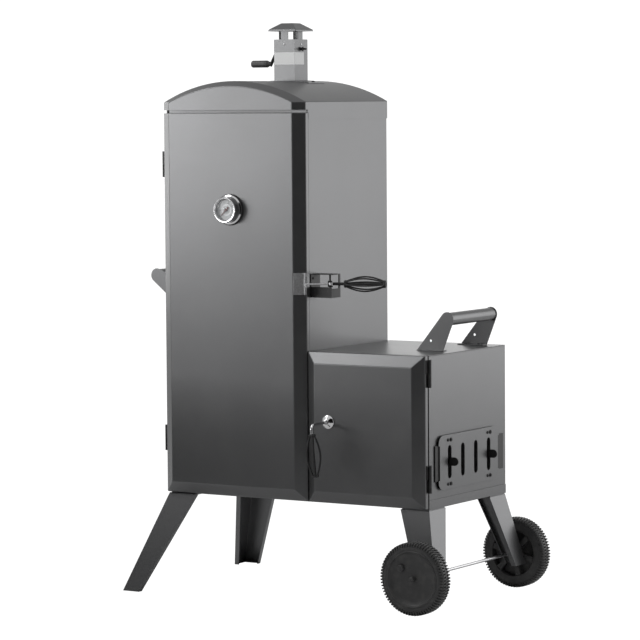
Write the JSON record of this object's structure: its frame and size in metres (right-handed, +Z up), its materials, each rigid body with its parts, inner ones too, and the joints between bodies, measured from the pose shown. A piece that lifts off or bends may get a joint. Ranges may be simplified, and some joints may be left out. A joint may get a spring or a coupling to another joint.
{
  "type": "vertical charcoal smoker",
  "caption": "Tall cabinet smoker with arched roof, chimney, latched door and a side firebox, standing on splayed legs and wheels.",
  "frame": {"origin": "on the floor, under the middle of the smoker's bounding box", "axes": "+Z up, -Y towards the doors, +X towards the firebox"},
  "size_m": [1.0012, 0.641, 1.527],
  "materials": {
    "painted_steel": "satin dark grey powder coat",
    "black_steel": "satin black heat-proof paint",
    "bright_chrome": "bright plated",
    "zinc_steel": "zinc plated",
    "grate_wire": "plated wire",
    "black_plastic": "moulded, fine grain",
    "dial_face": "satin printed",
    "needle_red": "satin",
    "dial_glass": "clear",
    "enamel": "glossy enamel"
  },
  "bodies": {
    "root": {"ash_pan": "black_steel", "axle": "zinc_steel", "cabinet_back_panel": "painted_steel", "cabinet_door_frame": "painted_steel", "cabinet_floor": "painted_steel", "cabinet_left_panel": "painted_steel", "cabinet_right_panel": "painted_steel", "charcoal_grate": "black_steel", "cooking_grate_lower": "grate_wire", "cooking_grate_middle": "grate_wire", "cooking_grate_upper": "grate_wire", "damper_cover": "painted_steel", "firebox_back_panel": "painted_steel", "firebox_base_pan": "painted_steel", "firebox_door_frame": "painted_steel", "firebox_hinge_lower_fixed": "black_steel", "firebox_hinge_upper_fixed": "black_steel", "firebox_right_panel": "painted_steel", "firebox_top": "painted_steel", "flue": "painted_steel", "latch_bracket": "black_steel", "leg_left_front": "painted_steel", "leg_left_rear": "painted_steel", "leg_right_front": "painted_steel", "leg_right_rear": "painted_steel", "main_hinge_lower_fixed": "black_steel", "main_hinge_upper_fixed": "black_steel", "rack_left": "painted_steel", "rack_right": "painted_steel", "rain_cap": "painted_steel", "roof_cap": "painted_steel", "side_handle_bracket_front": "painted_steel", "side_handle_bracket_rear": "painted_steel", "side_handle_tube": "painted_steel", "top_handle_bracket_front": "painted_steel", "top_handle_bracket_rear": "painted_steel", "top_handle_tube": "painted_steel", "water_pan": "enamel"},
    "main_door": {"main_door": "painted_steel", "door_strike": "zinc_steel", "thermometer_case": "bright_chrome", "thermometer_dial": "dial_face", "thermometer_lens": "dial_glass", "main_hinge_lower_moving": "black_steel", "main_hinge_upper_moving": "black_steel"},
    "thermometer_needle": {"thermometer_needle": "needle_red"},
    "firebox_door": {"firebox_door": "painted_steel", "firebox_rosette": "bright_chrome", "firebox_hinge_lower_moving": "black_steel", "firebox_hinge_upper_moving": "black_steel"},
    "firebox_handle": {"firebox_handle_rod": "bright_chrome", "firebox_handle_grip": "black_steel"},
    "latch_lever": {"latch_lever": "black_steel", "latch_grip": "black_steel"},
    "latch_hook": {"latch_hook": "zinc_steel"},
    "air_slider": {"air_slider": "black_steel"},
    "chimney_damper": {"chimney_damper": "black_steel", "damper_grip": "black_plastic"},
    "front_wheel": {"wheel_front": "black_plastic"},
    "rear_wheel": {"wheel_rear": "black_plastic"}
  },
  "joints": [
    {"name": "main_door_hinge", "type": "hinge", "parent": "root", "child": "main_door", "pos_m": [-0.4045, -0.186, 0.776], "axis": [0, 0, -1], "range_deg": [0, 150]},
    {"name": "thermometer_needle_turn", "type": "hinge", "parent": "main_door", "child": "thermometer_needle", "pos_m": [-0.1739, -0.235, 1.031], "axis": [0, 1, 0], "range_deg": [0, 270]},
    {"name": "firebox_door_hinge", "type": "hinge", "parent": "root", "child": "firebox_door", "pos_m": [0.4127, -0.181, 0.464], "axis": [0, 0, 1], "range_deg": [0, 150]},
    {"name": "firebox_handle_turn", "type": "hinge", "parent": "firebox_door", "child": "firebox_handle", "pos_m": [0.1255, -0.214, 0.481], "axis": [0, -1, 0], "range_deg": [0, 90]},
    {"name": "latch_lever_turn", "type": "hinge", "parent": "root", "child": "latch_lever", "pos_m": [0.0965, -0.152, 0.838], "axis": [0, 0, -1], "range_deg": [0, 100]},
    {"name": "latch_hook_swing", "type": "hinge", "parent": "latch_lever", "child": "latch_hook", "pos_m": [0.1045, -0.161, 0.838], "axis": [0, 0, -1], "range_deg": [-140, 0]},
    {"name": "air_slide", "type": "slide", "parent": "root", "child": "air_slider", "axis": [0, 1, 0], "range_m": [-0.015, 0]},
    {"name": "chimney_damper_turn", "type": "hinge", "parent": "root", "child": "chimney_damper", "pos_m": [-0.1739, 0.091, 1.457], "axis": [1, 0, 0], "range_deg": [-50, 40]},
    {"name": "front_wheel_spin", "type": "hinge", "parent": "root", "child": "front_wheel", "pos_m": [0.4065, -0.249, 0.095], "axis": [0, 1, 0], "continuous": true},
    {"name": "rear_wheel_spin", "type": "hinge", "parent": "root", "child": "rear_wheel", "pos_m": [0.4065, 0.297, 0.095], "axis": [0, 1, 0], "continuous": true}
  ],
  "couplings": [
    {"joint": "latch_hook_swing", "follows": "latch_lever_turn", "ratio": -1.4}
  ]
}
